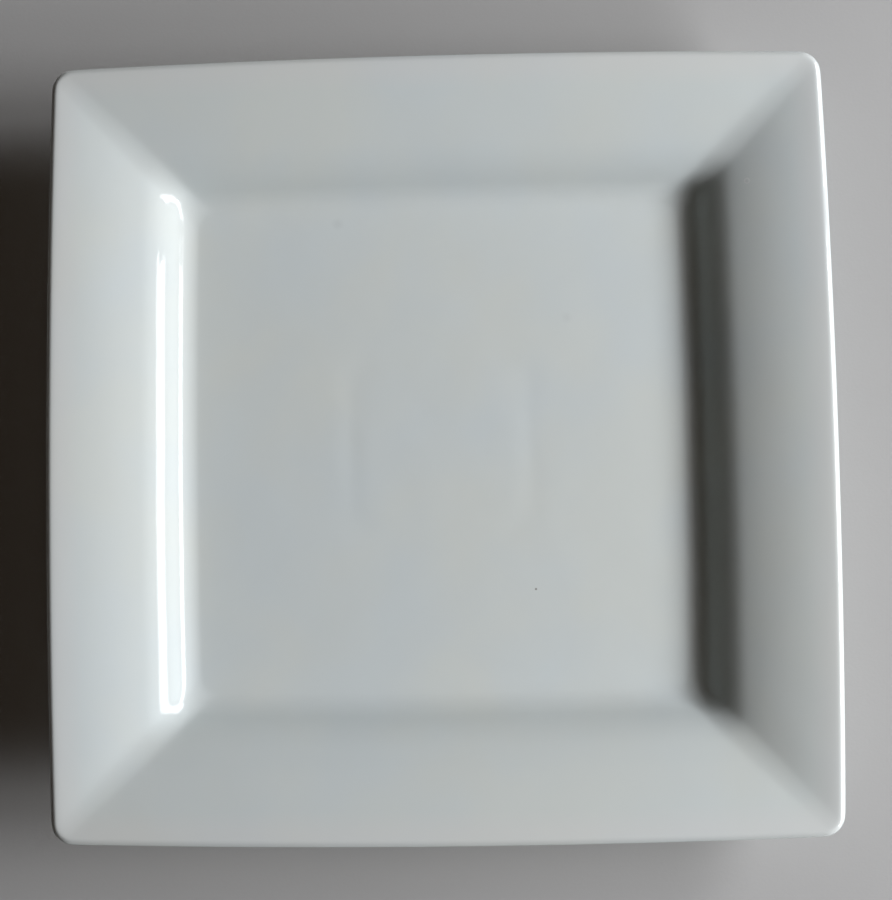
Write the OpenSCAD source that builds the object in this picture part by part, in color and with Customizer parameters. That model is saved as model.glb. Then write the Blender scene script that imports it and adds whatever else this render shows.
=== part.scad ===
// Square dinner plate. One pressed and fired porcelain body, drawn up into a square foot ring and a
// small support ring underneath, carries three separate fields of fused glass glaze. The bare standing
// edges of the two rings keep the three fields apart.
// The origin is at the middle of the plate, on the surface that it stands on. +Z points up.

/* [Outline] */
// Overall width across the middles of two opposite sides, over the glaze
plate_w = 266; // [220:1:340]
// Rise of each side's outward bow, taken over the whole width
side_bow = 2.2; // [0.5:0.1:6]
// Radius of the four corners of the outline
outline_corner_r = 7.5; // [6:0.5:20]

/* [Rim and well] */
// Level width of the sloping rim, from its shoulder to the lip
rim_w = 28; // [18:0.1:40]
// Slope of the rim where it leaves the shoulder, in degrees
rim_inner_slope = 20; // [15:1:26]
// Slope of the rim where it meets the lip, in degrees
rim_outer_slope = 6; // [2:1:12]
// Steepest slope of the wall between the well and the rim, in degrees
wall_slope = 49; // [36:1:60]
// Radius of the hollow bend at the edge of the well
well_bend_r = 11.2; // [8:0.1:24]
// Radius of the rounded shoulder between that bend and the rim
shoulder_r = 25; // [18:1:44]
// Corner radius of the flat floor of the well
well_corner_r = 7; // [5:0.5:16]

/* [Thicknesses] */
// Thickness of the porcelain, the same in the well, the rim and the lip
clay_t = 4.4; // [3:0.1:7]
// Thickness of the fused glaze
glaze_t = 0.25; // [0.1:0.05:0.5]

/* [Foot ring] */
// Height of the foot ring, from the standing surface to the underside of the well
foot_h = 3.5; // [3:0.1:8]
// Thickness of the foot ring at its pressed edge
foot_t = 4.4; // [3:0.1:8]
// How far inside the edge of the well the foot ring's outer fillet starts
foot_setback = 1.6; // [0.5:0.1:8]
// Corner radius of the foot ring, along its middle
foot_corner_r = 12; // [9:0.5:20]

/* [Support ring] */
// Width of the support ring as a share of the foot ring's width, both measured along the rings' middles
support_share = 0.4; // [0.35:0.01:0.6]
// Thickness of the support ring at its pressed edge
support_t = 3.4; // [3:0.1:6]
// Corner radius of the support ring, along its middle
support_corner_r = 11; // [8:0.5:18]

/* [Both rings] */
// Draft of the rings' sides, in degrees, so that the pressed clay leaves its mould
ring_draft = 12; // [6:1:16]
// Radius of the fillets where the rings meet the underside
ring_fillet_r = 2; // [0.8:0.1:2.2]
// Rounding of the rings' pressed edges
ring_edge_r = 1.1; // [0.6:0.1:1.3]
// Clay ground off the fired edges, so that both rings stand flat
ground_t = 0.25; // [0.1:0.05:0.4]
// Height up to which the glaze is wiped off the rings before the last firing
wiped_h = 1.2; // [1:0.1:1.5]

/* [Smoothness] */
// Furthest that a flat facet may lie from the true curve
facet_error = 0.08; // [0.04:0.01:0.3]

/* [Hidden] */

// Directions that a surface faces, in degrees, seen in a section through the middle of a side. Outwards is
// 0 and straight up is 90.
up = 90;
down = -90;
level_out = 0;
wall_faces = up + wall_slope;
shoulder_faces = up + rim_inner_slope;
lip_faces = up + rim_outer_slope;
under_lip_faces = lip_faces - 180;
ring_outside_faces = -ring_draft;
ring_inside_faces = ring_draft - 180;

// The clay's lip is a half round as thick as the wall, in the middle of which lies this line.
lip_r = clay_t / 2;
lip_mid = plate_w / 2 - glaze_t - lip_r;
lip_corner_r = outline_corner_r - glaze_t - lip_r;
lip_start = lip_mid + lip_r * cos(lip_faces);

// The arcs of the face follow each other without a break, from the flat floor to the lip.
rim_r = rim_w / (cos(lip_faces) - cos(shoulder_faces));
rim_arc_x = lip_start - rim_r * cos(lip_faces);
shoulder_arc_x = rim_arc_x + (rim_r - shoulder_r) * cos(shoulder_faces);
well_bend_x = shoulder_arc_x + (shoulder_r + well_bend_r) * cos(wall_faces);
floor_z = foot_h + clay_t;
well_bend_z = floor_z + well_bend_r;
shoulder_arc_z = well_bend_z - (shoulder_r + well_bend_r) * sin(wall_faces);
rim_arc_z = shoulder_arc_z - (rim_r - shoulder_r) * sin(shoulder_faces);
lip_z = rim_arc_z + (rim_r - lip_r) * sin(lip_faces);

// The foot ring stands just inside the edge of the flat floor, and the support ring holds up the middle of
// what it spans.
ring_spread = foot_h * tan(ring_draft) + ring_fillet_r / cos(ring_draft);
foot_mid = well_bend_x - foot_setback - ring_spread - foot_t / 2;
support_mid = foot_mid * support_share;

// Every side is an arc about a point this far beyond the middle of the plate, so that all outlines run
// side by side, from the lip down to the rings.
outline_side_r = ((plate_w / 2) ^ 2 + side_bow ^ 2) / (2 * side_bow);
side_centre = outline_side_r - plate_w / 2;

// How far the cutting blocks run past what they cut
overrun = foot_h;

// Number of equal steps in which an arc stays within the facet error
function steps(r, sweep) = max(1, ceil(abs(sweep) / (2 * acos(1 - min(facet_error / r, 0.5)))));

// A station is one level outline of the clay's surface: its distance from the middle of the plate at the
// middle of a side, its height, its corner radius, and the direction that the surface faces there.
function station(x, z, corner_r, faces) = [x, z, corner_r, faces];
function x_of(s) = s[0];
function z_of(s) = s[1];
function corner_r_of(s) = s[2];
function faces_of(s) = s[3];

// The same outline a distance t further along the direction that its surface faces, and facing another
// way by turn
function moved(s, t, turn = 0) =
    let (out = t * cos(faces_of(s)), rise = t * sin(faces_of(s)))
    station(x_of(s) + out, z_of(s) + rise, corner_r_of(s) + out, faces_of(s) + turn);

// Stations along an arc about the point x, z. The surface faces away from that point, or towards it where
// the bend is hollow. The corner radius is corner_r at the distance from_x, and grows outwards by
// corner_growth for each unit of length.
function arc(x, z, r, faces_from, faces_to, hollow, from_x, corner_r, corner_growth) =
    let (n = steps(r, faces_to - faces_from), side = hollow ? -r : r)
    [for (i = [0:n])
        let (faces = faces_from + (faces_to - faces_from) * i / n, at_x = x + side * cos(faces))
        station(at_x, z + side * sin(faces), corner_r + corner_growth * (at_x - from_x), faces)];

// All but the first station, where two runs share one
function rest(run) = [for (i = [1:len(run) - 1]) run[i]];
function reversed(run) = [for (i = [len(run) - 1:-1:0]) run[i]];

// The face of the clay, from the edge of the flat floor to the lip
rim_corner_r = lip_corner_r + lip_start - lip_mid;
face_growth = (rim_corner_r - well_corner_r) / (lip_start - well_bend_x);
function face_arc(x, z, r, faces_from, faces_to, hollow) =
    arc(x, z, r, faces_from, faces_to, hollow, well_bend_x, well_corner_r, face_growth);
face_run = concat(
    face_arc(well_bend_x, well_bend_z, well_bend_r, up, wall_faces, true),
    rest(face_arc(shoulder_arc_x, shoulder_arc_z, shoulder_r, wall_faces, shoulder_faces, false)),
    rest(face_arc(rim_arc_x, rim_arc_z, rim_r, shoulder_faces, lip_faces, false))
);

// The half round of the lip, in two parts that meet at the widest outline
function lip_arc(faces_from, faces_to) =
    arc(lip_mid, lip_z, lip_r, faces_from, faces_to, false, lip_mid, lip_corner_r, 1);
lip_run = concat(rest(lip_arc(lip_faces, level_out)), rest(lip_arc(level_out, under_lip_faces)));

// The underside of the rim and the well follows the face at the thickness of the clay.
under_run = rest(reversed([for (s = face_run) moved(s, -clay_t, turn = -180)]));

// One side of a pressed ring, from the fillet at the underside to the rounded edge. The ring's middle line
// is at mid, and side is 1 for its outside and -1 for its inside.
function ring_side(mid, ring_t, corner_r, side) =
    let (
        faces = side > 0 ? ring_outside_faces : ring_inside_faces,
        half_t = ring_t / 2,
        fillet_z = foot_h - ring_fillet_r,
        edge_z = ring_edge_r - ground_t,
        fillet_x = mid + side * (half_t + fillet_z * tan(ring_draft) + ring_fillet_r / cos(ring_draft)),
        edge_x = mid + side * (half_t + edge_z * tan(ring_draft) - ring_edge_r / cos(ring_draft))
    )
    concat(
        arc(fillet_x, fillet_z, ring_fillet_r, down, faces, true, mid, corner_r, 1),
        arc(edge_x, edge_z, ring_edge_r, faces, down, false, mid, corner_r, 1)
    );
foot_outside = ring_side(foot_mid, foot_t, foot_corner_r, 1);
foot_inside = ring_side(foot_mid, foot_t, foot_corner_r, -1);
support_outside = ring_side(support_mid, support_t, support_corner_r, 1);
support_inside = ring_side(support_mid, support_t, support_corner_r, -1);

// The whole surface of the clay, from the middle of the face round the lip to the middle of the underside
clay_run = concat(
    face_run, lip_run, under_run,
    foot_outside, reversed(foot_inside),
    support_outside, reversed(support_inside)
);

// Steps along one side and round one corner, the same at every level so that the outlines can be joined
side_steps = 2 * steps(outline_side_r, asin(plate_w / 2 / outline_side_r));
corner_steps = steps(outline_corner_r, 90);

// One level outline: four bowed sides joined by four round corners, with the points in order round it
function outline(s) =
    let (
        r = corner_r_of(s),
        side_r = side_centre + x_of(s),
        corner_x = (sqrt(2 * (side_r - r) ^ 2 - side_centre ^ 2) - side_centre) / 2,
        half_side = atan2(corner_x, corner_x + side_centre),
        corner_sweep = 90 - 2 * half_side
    )
    [for (quarter = [0:3])
        for (p = concat(
            [for (i = [0:side_steps - 1])
                let (a = half_side * (2 * i / side_steps - 1))
                [side_r * cos(a) - side_centre, side_r * sin(a)]],
            [for (i = [0:corner_steps - 1])
                let (a = half_side + corner_sweep * i / corner_steps)
                [corner_x + r * cos(a), corner_x + r * sin(a)]]
        ))
        let (turn = 90 * quarter)
        [p[0] * cos(turn) - p[1] * sin(turn), p[0] * sin(turn) + p[1] * cos(turn), z_of(s)]];
outline_points = 4 * (side_steps + corner_steps);

// Joins a run of outlines into one closed solid, listed from above outwards and then back underneath. Its
// first and last outlines are filled in, or where it is a closed band, joined to each other.
module joined(run, band = false) {
    n = outline_points;
    last = len(run) - 1;
    strips = [for (i = [0:last - (band ? 0 : 1)]) for (j = [0:n - 1])
        let (
            a = i * n + j,
            b = i * n + (j + 1) % n,
            c = ((i + 1) % (last + 1)) * n + (j + 1) % n,
            d = ((i + 1) % (last + 1)) * n + j
        )
        each [[a, b, c], [a, c, d]]];
    ends = band ? [] : [[for (j = [n - 1:-1:0]) j], [for (j = [0:n - 1]) last * n + j]];
    polyhedron(points = [for (s = run) each outline(s)], faces = concat(strips, ends), convexity = 6);
}

// The outside of the glaze that lies on a run of the clay's surface
function glazed(run) = [for (s = run) moved(s, glaze_t)];

// Cuts away everything below a level, as grinding and wiping do
module level_cut(height) {
    reach = plate_w / 2 + overrun;
    difference() {
        children();
        translate([-reach, -reach, height - foot_h - overrun])
            cube([2 * reach, 2 * reach, foot_h + overrun]);
    }
}

// What stands above the ground edge on one side of a ring
function above_ground(side_run) = [for (s = side_run) if (z_of(s) > 0) s];

// The clay's surface under each field of glaze. The face's starts at the well, and the two underneath are
// listed from the middle outwards.
face_field = concat(face_run, lip_run, under_run, above_ground(foot_outside));
base_field = concat(reversed(above_ground(support_outside)), above_ground(foot_inside));
centre_field = above_ground(support_inside);

module porcelain_body() {
    color([0.93, 0.93, 0.9])
        level_cut(0)
            joined(clay_run);
}

module face_glaze() {
    color([0.78, 0.82, 0.81])
        level_cut(wiped_h)
            joined(concat(glazed(face_field), reversed(face_field)));
}

module base_glaze() {
    color([0.72, 0.77, 0.76])
        level_cut(wiped_h)
            joined(concat(base_field, reversed(glazed(base_field))), band = true);
}

module centre_glaze() {
    color([0.66, 0.72, 0.71])
        level_cut(wiped_h)
            joined(concat(centre_field, reversed(glazed(centre_field))));
}

porcelain_body();
face_glaze();
base_glaze();
centre_glaze();
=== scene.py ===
from math import asin, cos, degrees, pi, radians, sin, sqrt, tan

import bmesh
import bpy
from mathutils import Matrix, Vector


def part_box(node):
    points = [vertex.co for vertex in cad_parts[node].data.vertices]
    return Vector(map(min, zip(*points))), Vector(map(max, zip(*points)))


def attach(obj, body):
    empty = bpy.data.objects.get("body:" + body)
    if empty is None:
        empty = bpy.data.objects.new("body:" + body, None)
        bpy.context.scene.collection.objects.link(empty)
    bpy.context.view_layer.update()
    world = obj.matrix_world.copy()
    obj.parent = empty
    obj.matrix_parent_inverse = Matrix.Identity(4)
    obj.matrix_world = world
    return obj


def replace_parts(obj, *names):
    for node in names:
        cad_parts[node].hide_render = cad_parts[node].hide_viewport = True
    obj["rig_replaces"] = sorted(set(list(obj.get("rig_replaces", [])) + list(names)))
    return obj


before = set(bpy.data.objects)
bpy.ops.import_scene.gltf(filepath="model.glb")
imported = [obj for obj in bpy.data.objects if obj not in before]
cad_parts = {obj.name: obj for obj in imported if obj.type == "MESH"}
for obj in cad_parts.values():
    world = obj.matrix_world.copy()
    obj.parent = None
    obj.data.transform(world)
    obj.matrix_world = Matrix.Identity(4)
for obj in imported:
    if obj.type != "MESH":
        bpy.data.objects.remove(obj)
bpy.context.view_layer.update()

# Camera. It hangs half a metre above the plate, a little to the right of its middle and nearer its
# front side, and looks down almost square to the well. The lens length is given for a picture whose
# longer side is its height.
bpy.ops.object.select_all(action="DESELECT")
bpy.ops.object.camera_add(
    location=(0.0158, -0.0326, 0.5012),
    rotation=(radians(3.631), radians(1.685), radians(-0.946)),
)
camera = bpy.context.object
camera.name = "camera"
camera.data.lens = 57.2
camera.data.sensor_width = 36
bpy.context.scene.camera = camera

# Porcelain body. The plate is one piece of white porcelain clay, pressed between two moulds: flat
# well, bent wall, sloping rim and round lip, with a square foot ring and a small support ring drawn
# up out of the same clay underneath. Its section is followed outwards over the face and back below.
half_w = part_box("face_glaze")[1].x
glaze_t = half_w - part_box("porcelain_body")[1].x
clay_t = 0.0044
foot_h = 0.0035
side_bow = 0.0022
outline_corner_r = 0.0075
well_corner_r = 0.007
rim_w = 0.028
rim_inner_slope = 20
rim_outer_slope = 6
wall_slope = 49
well_bend_r = 0.0112
shoulder_r = 0.025

# The four corner lines of the rim are rounder halfway out than at either end of them. The lip is drawn
# in by a hair, so that its glaze stays within the plate's height.
mitre_swell = 0.0012
lip_drawn_in = 0.00007

# The arcs of the section touch one another, from the lip inwards to the bend at the edge of the well.
floor_z = foot_h + clay_t
lip_r = clay_t / 2
lip_mid = half_w - glaze_t - lip_r
lip_corner_r = outline_corner_r - glaze_t - lip_r
lip_start = lip_mid - lip_r * sin(radians(rim_outer_slope))
rim_r = rim_w / (sin(radians(rim_inner_slope)) - sin(radians(rim_outer_slope)))
rim_arc_x = lip_start + rim_r * sin(radians(rim_outer_slope))
shoulder_arc_x = rim_arc_x - (rim_r - shoulder_r) * sin(radians(rim_inner_slope))
well_bend_x = shoulder_arc_x - (shoulder_r + well_bend_r) * sin(radians(wall_slope))
well_bend_z = floor_z + well_bend_r
shoulder_arc_z = well_bend_z - (shoulder_r + well_bend_r) * cos(radians(wall_slope))
rim_arc_z = shoulder_arc_z - (rim_r - shoulder_r) * cos(radians(rim_inner_slope))
lip_z = rim_arc_z + (rim_r - lip_r) * cos(radians(rim_outer_slope))
corner_growth = (lip_corner_r + lip_start - lip_mid - well_corner_r) / (lip_start - well_bend_x)


def arc(x, z, radius, faces_from, faces_to, steps, corner_r):
    """Levels along an arc of the section about the point x, z. Each is half a width, a height and a
    corner radius, and they face from one direction round to another, in degrees. A hollow arc has a
    radius below zero. The levels stand off the arc by what the subdivision later draws them in."""
    turn = (faces_to - faces_from) / steps
    stand_off = radius * 3 / (2 + cos(radians(turn)))
    levels = []
    for i in range(steps + 1):
        faces = radians(faces_from + turn * i)
        out = x + stand_off * cos(faces)
        levels.append((out, z + stand_off * sin(faces), corner_r(out, faces)))
    return levels


def face_corner(x, faces):
    along_rim = pi * (x - well_bend_x) / (lip_start - well_bend_x)
    return well_corner_r + corner_growth * (x - well_bend_x) + mitre_swell * sin(along_rim) ** 2


def lip_corner(x, faces):
    return lip_corner_r + x - lip_mid


def under_corner(x, faces):
    inset = clay_t * cos(faces)
    return face_corner(x - inset, faces) + inset


# The face of the well looks straight up, and each slope turns it towards the middle of the plate. The
# underside of every stretch looks the other way.
well_faces = 90
wall_faces = well_faces + wall_slope
shoulder_faces = well_faces + rim_inner_slope
lip_faces = well_faces + rim_outer_slope
under_lip_faces = lip_faces - 180
under_shoulder_faces = shoulder_faces - 180
under_wall_faces = wall_faces - 180
under_well_faces = well_faces - 180

bend = arc(well_bend_x, well_bend_z, -well_bend_r,
           well_faces, wall_faces, 8, face_corner)
shoulder = arc(shoulder_arc_x, shoulder_arc_z, shoulder_r,
               wall_faces, shoulder_faces, 4, face_corner)
rim = arc(rim_arc_x, rim_arc_z, rim_r,
          shoulder_faces, lip_faces, 4, face_corner)
lip = arc(lip_mid, lip_z, lip_r - lip_drawn_in,
          lip_faces, under_lip_faces, 10, lip_corner)
under_rim = arc(rim_arc_x, rim_arc_z, clay_t - rim_r,
                under_lip_faces, under_shoulder_faces, 2, under_corner)
under_shoulder = arc(shoulder_arc_x, shoulder_arc_z, clay_t - shoulder_r,
                     under_shoulder_faces, under_wall_faces, 3, under_corner)
under_bend = arc(well_bend_x, well_bend_z, clay_t + well_bend_r,
                 under_wall_faces, under_well_faces, 4, under_corner)
face = bend + shoulder[1:] + rim[1:] + lip[1:]
underside = under_rim[1:] + under_shoulder[1:] + under_bend[1:]

# The two rings are pressed with sloping sides, and their standing edges are ground flat after firing.
ring_draft = 12
ring_fillet_r = 0.002
ring_edge_r = 0.0011
ground_t = 0.00025
foot_t = 0.0044
foot_corner_r = 0.012
foot_setback = 0.0016
support_t = 0.0034
support_corner_r = 0.011
support_share = 0.4
ring_spread = foot_h * tan(radians(ring_draft)) + ring_fillet_r / cos(radians(ring_draft))
foot_mid = well_bend_x - foot_setback - ring_spread - foot_t / 2
support_mid = foot_mid * support_share


def ring_side(mid, ring_t, ring_corner_r, side):
    """Levels down one side of a ring, from its fillet to its ground edge. The side is 1 for the
    outside and -1 for the inside."""
    faces = -ring_draft if side > 0 else ring_draft - 180
    slant = tan(radians(ring_draft))
    fillet_z = foot_h - ring_fillet_r
    edge_z = ring_edge_r - ground_t
    fillet_x = mid + side * (ring_t / 2 + fillet_z * slant + ring_fillet_r / cos(radians(ring_draft)))
    edge_x = mid + side * (ring_t / 2 + edge_z * slant - ring_edge_r / cos(radians(ring_draft)))
    ground_faces = -degrees(asin(edge_z / ring_edge_r))
    if side < 0:
        ground_faces = -180 - ground_faces

    def ring_corner(x, faces):
        return ring_corner_r + x - mid

    return (arc(fillet_x, fillet_z, -ring_fillet_r, under_well_faces, faces, 5, ring_corner)
            + arc(edge_x, edge_z, ring_edge_r, faces, ground_faces, 3, ring_corner))


# The support ring shows through the middle of the well as a shallow sunk line, because the clay
# shrinks more where it is thicker. Each level of the line has its place across the line's width and
# its share of the line's depth.
mark_depth = 0.00009
mark_w = 0.012
mark_levels = (
    (-1.5, 0),
    (-0.9, 0),
    (-0.5, 0),
    (-0.25, 0.5),
    (0, 1.2),
    (0.25, 0.5),
    (0.5, 0),
    (0.9, 0),
    (1.8, 0),
    (3, 0),
)
floor = []
for across, depth in mark_levels:
    x = support_mid + mark_w * across
    floor.append((x, floor_z - mark_depth * depth, support_corner_r * min(1, x / support_mid)))
section = (floor + face + underside
           + ring_side(foot_mid, foot_t, foot_corner_r, 1)
           + ring_side(foot_mid, foot_t, foot_corner_r, -1)[::-1]
           + ring_side(support_mid, support_t, support_corner_r, 1)
           + ring_side(support_mid, support_t, support_corner_r, -1)[::-1])

# Every side of every outline is an arc about a point this far beyond the middle of the plate.
side_centre = (half_w ** 2 + side_bow ** 2) / (2 * side_bow) - half_w

# Each corner is rounded in steps and each side is cut across. A side is told from a step by its
# length, which is more than this share of half the outline's width. The two middle faces are inset
# by a share of it too.
corner_steps = 5
side_cuts = 8
shortest_side = 0.25
end_inset = 0.25
stack_gap = 0.01


def corner_reach(half_width, corner_r):
    """How far a round corner reaches along the sides that it joins."""
    side_tilt = asin(half_width / (side_centre + half_width))
    return corner_r * tan(pi / 4 - side_tilt)


def towards_corner(along, side_end):
    """Where a cut of a side goes, so that the cuts lie closer together towards the side's ends."""
    return side_end * sin(pi / 2 * along / side_end) if abs(along) < side_end else along


def outline(half_width, z, corner_r):
    """Adds one level outline to the piece in edit mode: a square with round corners and cut sides."""
    bpy.ops.mesh.primitive_circle_add(vertices=4, radius=half_width * sqrt(2), location=(0, 0, z),
                                      rotation=(0, 0, pi / 4))
    bpy.ops.mesh.bevel(offset=corner_reach(half_width, corner_r), offset_type="OFFSET",
                       segments=corner_steps, affect="VERTICES")
    mesh = bmesh.from_edit_mesh(bpy.context.object.data)
    for edge in mesh.edges:
        edge.select = edge.is_wire and edge.calc_length() > half_width * shortest_side
    mesh.select_flush_mode()
    bpy.ops.mesh.subdivide(number_cuts=side_cuts)


def select_open_edges():
    bpy.ops.mesh.select_non_manifold(extend=False, use_wire=True, use_boundary=True,
                                     use_multi_face=False, use_non_contiguous=False, use_verts=False)


def fill_open_outline(inset):
    select_open_edges()
    bpy.ops.mesh.edge_face_add()
    bpy.ops.mesh.inset(thickness=inset)


# The outlines are bridged one after another while they are stacked apart, downwards. The first and
# the last are filled: they are the middle of the well and the middle of the underside.
bpy.ops.object.select_all(action="DESELECT")
bpy.ops.mesh.primitive_circle_add(vertices=4)
body = bpy.context.object
body.name = "porcelain_body_smooth"
bpy.ops.object.mode_set(mode="EDIT")
bpy.ops.mesh.select_mode(type="EDGE")
bpy.ops.mesh.select_all(action="SELECT")
bpy.ops.mesh.delete(type="VERT")
for level, (half_width, z, corner_r) in enumerate(section):
    outline(half_width, -level * stack_gap, corner_r)
    if level == 0:
        fill_open_outline(half_width * end_inset)
    else:
        select_open_edges()
        bpy.ops.mesh.bridge_edge_loops()
fill_open_outline(half_width * end_inset)
bpy.ops.mesh.select_all(action="SELECT")
bpy.ops.mesh.normals_make_consistent(inside=False)

# Then each outline goes to its own height. The cuts of its sides gather towards the corners, and the
# sides bow outwards: a point is drawn in by more, the further it lies from the middle of its side.
mesh = bmesh.from_edit_mesh(body.data)
for vertex in mesh.verts:
    x, y, stacked = vertex.co
    half_width, z, corner_r = section[round(-stacked / stack_gap)]
    reach = max(abs(x), abs(y))
    side_end = reach - corner_reach(half_width, corner_r)
    x = towards_corner(x, side_end)
    y = towards_corner(y, side_end)
    draw = 1 / (2 * reach * (side_centre + reach))
    vertex.co = (x - x * y * y * draw, y - y * x * x * draw, z)
mesh.normal_update()

# The edges of the ground faces stay sharp, and the rest is drawn smooth. What the smoothing lets sink
# below the ground faces is brought back up to them.
ground_edge_angle = 20
smooth_levels = 2
smooth_angle = 30
for edge in mesh.edges:
    on_ground = all(vertex.co.z < ground_t / 10 for vertex in edge.verts)
    edge.select = on_ground and degrees(edge.calc_face_angle()) > ground_edge_angle
mesh.select_flush_mode()
bmesh.update_edit_mesh(body.data)
bpy.ops.transform.edge_crease(value=1)
bpy.ops.object.mode_set(mode="OBJECT")
bpy.ops.object.modifier_add(type="SUBSURF")
smoothing = body.modifiers[-1]
smoothing.levels = smooth_levels
smoothing.render_levels = smooth_levels
bpy.ops.object.modifier_apply(modifier=smoothing.name)
for vertex in body.data.vertices:
    vertex.co.z = max(vertex.co.z, 0)
bpy.ops.object.shade_smooth_by_angle(angle=radians(smooth_angle))


def add_node(material, kind, inputs):
    """Adds a shader node. Each input is a number, a colour or the output of another node."""
    node = material.node_tree.nodes.new("ShaderNode" + kind)
    for name, value in inputs.items():
        if isinstance(value, bpy.types.NodeSocket):
            material.node_tree.links.new(value, node.inputs[name])
        else:
            node.inputs[name].default_value = value
    return node


def noise(material, place, scale, detail, roughness):
    """A random pattern between 0 and 1, with so many of its patches to a metre."""
    pattern = add_node(material, "TexNoise", {"Vector": place, "Scale": scale, "Detail": detail,
                                              "Roughness": roughness})
    return pattern.outputs["Fac"]


def between(material, factor, low, high):
    """A colour that goes from low to high as the factor goes from 0 to 1."""
    mix = add_node(material, "MixRGB", {"Fac": factor, "Color1": low, "Color2": high})
    return mix.outputs["Color"]


def in_range(material, value, value_from, value_to, out_from, out_to):
    """A number that goes from out_from to out_to as the value goes from value_from to value_to."""
    ramp = add_node(material, "MapRange", {"Value": value, "From Min": value_from, "From Max": value_to,
                                           "To Min": out_from, "To Max": out_to})
    return ramp.outputs["Result"]


def times(material, value, factor):
    product = add_node(material, "Math", {0: value, 1: factor})
    product.operation = "MULTIPLY"
    return product.outputs["Value"]


# Fired, unglazed porcelain is a warm white with a fine sandy grain, and the ground edges that the
# plate stands on have picked up a little grey from shelves and tables.
sandy_shade = (0.72, 0.68, 0.61, 1)
sandy_light = (0.84, 0.81, 0.75, 1)
shelf_grey = (0.53, 0.51, 0.47, 1)
grime_h = 0.0005
grain_depth = 0.00006

porcelain = bpy.data.materials.new("bare_porcelain")
porcelain.use_nodes = True
porcelain_shader = porcelain.node_tree.nodes["Principled BSDF"]
place = add_node(porcelain, "TexCoord", {}).outputs["Object"]
height = add_node(porcelain, "SeparateXYZ", {"Vector": place}).outputs["Z"]
grain = noise(porcelain, place, 2600, 3, 0.6)
blotches = noise(porcelain, place, 150, 5, 0.65)
grime = times(porcelain, in_range(porcelain, height, 0, grime_h, 1, 0),
              in_range(porcelain, blotches, 0.35, 0.68, 0.1, 1))
clean = between(porcelain, grain, sandy_shade, sandy_light)
porcelain.node_tree.links.new(between(porcelain, grime, clean, shelf_grey),
                              porcelain_shader.inputs["Base Color"])
porcelain.node_tree.links.new(in_range(porcelain, grain, 0.3, 0.7, 0.6, 0.85),
                              porcelain_shader.inputs["Roughness"])
bumps = add_node(porcelain, "Bump", {"Height": grain, "Strength": 0.6, "Distance": grain_depth})
porcelain.node_tree.links.new(bumps.outputs["Normal"], porcelain_shader.inputs["Normal"])
body.data.materials.append(porcelain)
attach(body, "root")
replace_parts(body, "porcelain_body")

# Glaze. Clear glass, fused on in the last firing over all of the clay but the two standing edges,
# which are wiped clean first. What is left is three separate fields: the face with the lip and the
# outside of the foot ring, the base between the rings, and the centre inside the support ring.
wiped_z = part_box("face_glaze")[0].z

glaze = bpy.data.materials.new("clear_glaze_over_white")
glaze.use_nodes = True
glaze_shader = glaze.node_tree.nodes["Principled BSDF"]
glaze_shader.inputs["IOR"].default_value = 1.5
glaze_place = add_node(glaze, "TexCoord", {}).outputs["Object"]
height = add_node(glaze, "SeparateXYZ", {"Vector": glaze_place}).outputs["Z"]

# White clay shows through it, in a cool white that drifts a little towards green from place to place.
# The coat is thin and warm on the lip and where it was wiped. It carries a painted shade, a little
# darker and greener, which comes in over the lower half of the bend and stays over the wall and rim.
# Each of these has the two heights between which it comes in or dies out, and its strength at both.
cool = (0.725, 0.79, 0.79, 1)
green = (0.755, 0.8, 0.765, 1)
cloudy = (0.7, 0.75, 0.74, 1)
# A painted shade for the bend, darker and greener than the coat.
painted_bend_shade = (0.71, 0.77, 0.75, 1)
thin_on_lip = (0.8, 0.8, 0.78, 1)
thin_at_wipe = (0.8, 0.77, 0.71, 1)
drift = noise(glaze, glaze_place, 22, 2, 0.5)
clouds = noise(glaze, glaze_place, 130, 3, 0.6)
white = between(glaze, in_range(glaze, drift, 0.35, 0.65, 0, 1), cool, green)
white = between(glaze, in_range(glaze, clouds, 0.3, 0.7, 0, 0.12), white, cloudy)
for tone, z_from, z_to, strength_from, strength_to in (
    # Painted shade, from the lower half of the bend upwards.
    (painted_bend_shade, floor_z + 0.0009, floor_z + 0.0026, 0, 0.15),
    (thin_on_lip, lip_z + lip_r / 2, lip_z + lip_r, 0, 0.4),
    (thin_at_wipe, wiped_z + 0.0001, wiped_z + 0.0009, 0.8, 0),
):
    strength = in_range(glaze, height, z_from, z_to, strength_from, strength_to)
    white = between(glaze, strength, white, tone)


def near(point, inner, outer):
    """1 within the inner distance of a point on the plate, 0 beyond the outer one."""
    away = add_node(glaze, "VectorMath", {0: glaze_place, 1: point})
    away.operation = "DISTANCE"
    return in_range(glaze, away.outputs["Value"], inner, outer, 1, 0)


# Small firing marks on the face: one dark speck, two faint grey shadows under the glaze and a burst
# bubble that healed to a ring. Each has its place, the reach of its core and of its edge, its
# strength and its tone.
well_z = floor_z + glaze_t
bubble = (0.1057, 0.0877, 0.0206)
for point, inner, outer, strength, tone in (
    ((0.0319, -0.0494, well_z), 0.0002, 0.0005, 0.75, (0.16, 0.14, 0.12, 1)),
    ((-0.0348, 0.0788, well_z), 0.0005, 0.0024, 0.13, (0.4, 0.43, 0.44, 1)),
    ((0.0444, 0.0442, well_z), 0.0004, 0.0022, 0.1, (0.42, 0.44, 0.44, 1)),
    (bubble, 0.0009, 0.0012, 0.5, (0.9, 0.92, 0.91, 1)),
    (bubble, 0.0004, 0.0007, 0.8, (0.7, 0.75, 0.74, 1)),
):
    white = between(glaze, times(glaze, near(point, inner, outer), strength), white, tone)
glaze.node_tree.links.new(white, glaze_shader.inputs["Base Color"])

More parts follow.
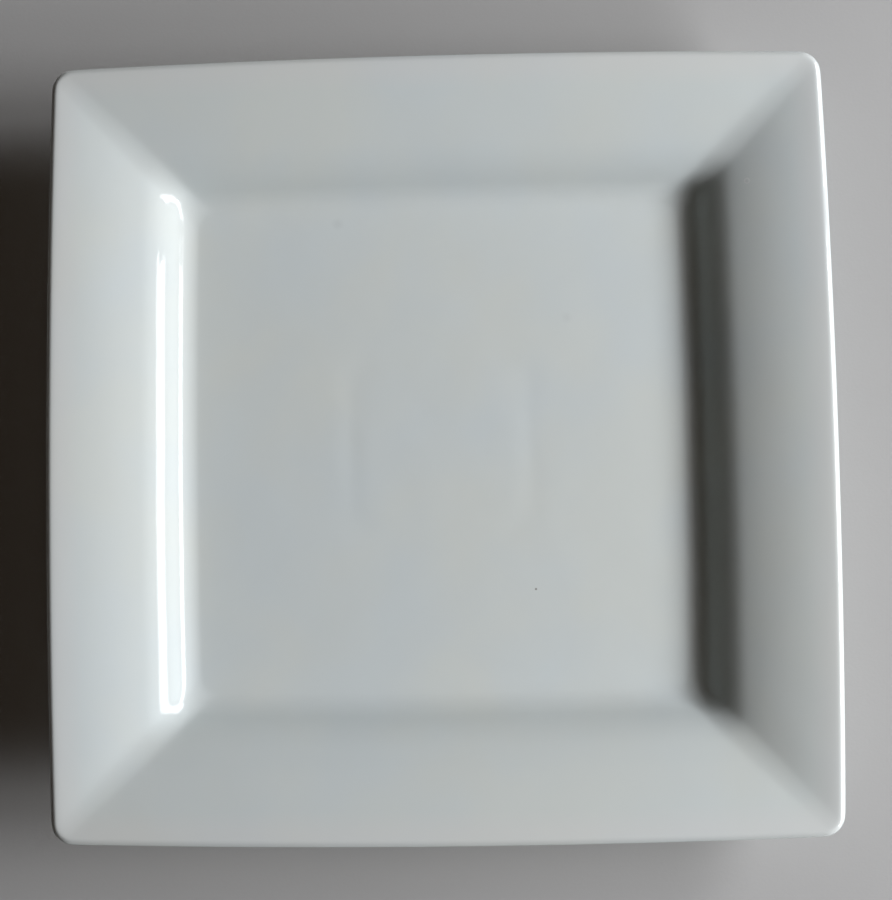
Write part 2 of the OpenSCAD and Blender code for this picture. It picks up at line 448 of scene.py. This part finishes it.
# It is glossy, with faint wear in its sheen and a skin that is very slightly dimpled, and the healed
# bubble stands up from it.
dimple_depth = 0.00002
bubble_h = 0.00004
glaze.node_tree.links.new(in_range(glaze, clouds, 0.3, 0.7, 0.03, 0.06),
                          glaze_shader.inputs["Roughness"])
dimples = noise(glaze, glaze_place, 160, 2, 0.4)
skin = add_node(glaze, "Bump", {"Height": dimples, "Strength": 1, "Distance": dimple_depth})
healed = add_node(glaze, "Bump", {"Height": near(bubble, 0.0004, 0.0009), "Strength": 0.5,
                                  "Distance": bubble_h, "Normal": skin.outputs["Normal"]})
glaze.node_tree.links.new(healed.outputs["Normal"], glaze_shader.inputs["Normal"])

# The molten glass settled in slow waves, which the mirror images on its surface show. They die out
# at the lip, where it pulled itself tight.
waves = bpy.data.textures.new("slow_waves", type="CLOUDS")
waves.noise_scale = 0.025
wave_height = 0.0002
wave_middle = 0.55
tight_w = 0.008

# The coat starts as a copy of the body's skin. It is cut off level where the clay was wiped, which
# parts it into its three fields, and each field is thickened outwards from the clay.
bpy.ops.object.select_all(action="DESELECT")
body.select_set(True)
bpy.context.view_layer.objects.active = body
bpy.ops.object.duplicate()
bpy.ops.object.mode_set(mode="EDIT")
bpy.ops.mesh.select_all(action="SELECT")
bpy.ops.mesh.bisect(plane_co=(0, 0, wiped_z), plane_no=(0, 0, 1), clear_inner=True)
bpy.ops.mesh.separate(type="LOOSE")
bpy.ops.object.mode_set(mode="OBJECT")
coats = sorted(bpy.context.selected_objects, key=lambda piece: piece.dimensions.x)
for piece, node in zip(coats, ("centre_glaze", "base_glaze", "face_glaze")):
    piece.name = node + "_smooth"
    bpy.ops.object.select_all(action="DESELECT")
    piece.select_set(True)
    bpy.context.view_layer.objects.active = piece

    clay_side = piece.vertex_groups.new(name="clay_side")
    bpy.ops.object.modifier_add(type="SOLIDIFY")
    thickening = piece.modifiers[-1]
    thickening.thickness = glaze_t
    thickening.offset = 1
    thickening.shell_vertex_group = clay_side.name
    bpy.ops.object.modifier_apply(modifier=thickening.name)

    # Only the free side of the coat is wavy, and the side that is fused to the clay stays on it.
    wavy = piece.vertex_groups.new(name="wavy")
    for vertex in piece.data.vertices:
        if not vertex.groups:
            edge = half_w - max(abs(vertex.co.x), abs(vertex.co.y))
            wavy.add([vertex.index], min(1, edge / tight_w), "REPLACE")
    bpy.ops.object.modifier_add(type="DISPLACE")
    settling = piece.modifiers[-1]
    settling.texture = waves
    settling.texture_coords = "LOCAL"
    settling.vertex_group = wavy.name
    settling.mid_level = wave_middle
    settling.strength = wave_height
    bpy.ops.object.modifier_apply(modifier=settling.name)

    # As a copy it still stands for the body and has the body's material.
    piece.data.materials.clear()
    piece.data.materials.append(glaze)
    del piece["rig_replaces"]
    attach(piece, "root")
    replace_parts(piece, node)

# Floor. A plain pale table top under the plate, painted and rubbed down, with a fine even tooth and
# a tone that wanders a very little.
table_w = 1.8
paint_shade = (0.49, 0.49, 0.48, 1)
paint_light = (0.52, 0.52, 0.51, 1)
tooth_depth = 0.0001

bpy.ops.object.select_all(action="DESELECT")
bpy.ops.mesh.primitive_plane_add(size=table_w)
table = bpy.context.object
table.name = "table"
paint = bpy.data.materials.new("pale_table")
paint.use_nodes = True
paint_shader = paint.node_tree.nodes["Principled BSDF"]
place = add_node(paint, "TexCoord", {}).outputs["Object"]
tone = in_range(paint, noise(paint, place, 5, 4, 0.5), 0.3, 0.7, 0, 1)
tooth = noise(paint, place, 900, 2, 0.5)
paint.node_tree.links.new(between(paint, tone, paint_shade, paint_light),
                          paint_shader.inputs["Base Color"])
paint.node_tree.links.new(in_range(paint, tooth, 0.3, 0.7, 0.74, 0.86),
                          paint_shader.inputs["Roughness"])
bumps = add_node(paint, "Bump", {"Height": tooth, "Strength": 0.3, "Distance": tooth_depth})
paint.node_tree.links.new(bumps.outputs["Normal"], paint_shader.inputs["Normal"])
table.data.materials.append(paint)

# Light. A long, low window to the right of the plate, with a bar before its back pane. Its mirror
# images are the white lines in the glaze. A room gives back a little warm light from above. Each
# pane has the stretch of the window's length and height that it takes up, and its brightness.
window_away = 1.05
daylight = (0.98, 0.985, 1.02)
for name, y_from, y_to, z_from, z_to, bright in (
    ("front_pane", -0.85, -0.4, 0.36, 0.64, 24),
    ("low_pane", -0.4, 0.298, 0.467, 0.558, 6),
    ("middle_pane", -0.4, 0.302, 0.558, 0.763, 14.5),
    ("high_pane", -0.4, 0.335, 0.763, 0.89, 6.5),
    ("back_low_pane", 0.35, 0.85, 0.4, 0.58, 20),
    ("back_middle_pane", 0.368, 0.85, 0.58, 0.763, 12),
    ("back_high_pane", 0.378, 0.85, 0.763, 0.89, 7.5),
):
    bpy.ops.object.light_add(
        type="AREA",
        location=(window_away, (y_from + y_to) / 2, (z_from + z_to) / 2),
        rotation=(0, pi / 2, 0),
    )
    pane = bpy.context.object
    pane.name = name
    pane.data.shape = "RECTANGLE"
    pane.data.size = z_to - z_from
    pane.data.size_y = y_to - y_from
    pane.data.energy = bright * pi * pane.data.size * pane.data.size_y
    pane.data.color = daylight
    pane.visible_camera = False

ceiling_w = 2
ceiling_z = 2.4
ceiling_bright = 0.125
ceiling_tone = (1.33, 1.03, 0.8)
bpy.ops.object.light_add(type="AREA", location=(0, 0, ceiling_z))
ceiling = bpy.context.object
ceiling.name = "ceiling"
ceiling.data.size = ceiling_w
ceiling.data.energy = ceiling_bright * pi * ceiling_w ** 2
ceiling.data.color = ceiling_tone
ceiling.visible_camera = False

# Beyond the table is a pale backdrop, which only the camera sees: it neither lights the plate nor
# shows in its glaze.
backdrop_tone = (0.32, 0.32, 0.315, 1)
world = bpy.data.worlds.new("room")
bpy.context.scene.world = world
world.use_nodes = True
world.node_tree.nodes["Background"].inputs["Color"].default_value = backdrop_tone
world.cycles_visibility.diffuse = False
world.cycles_visibility.glossy = False
bpy.context.scene.view_settings.view_transform = "Standard"
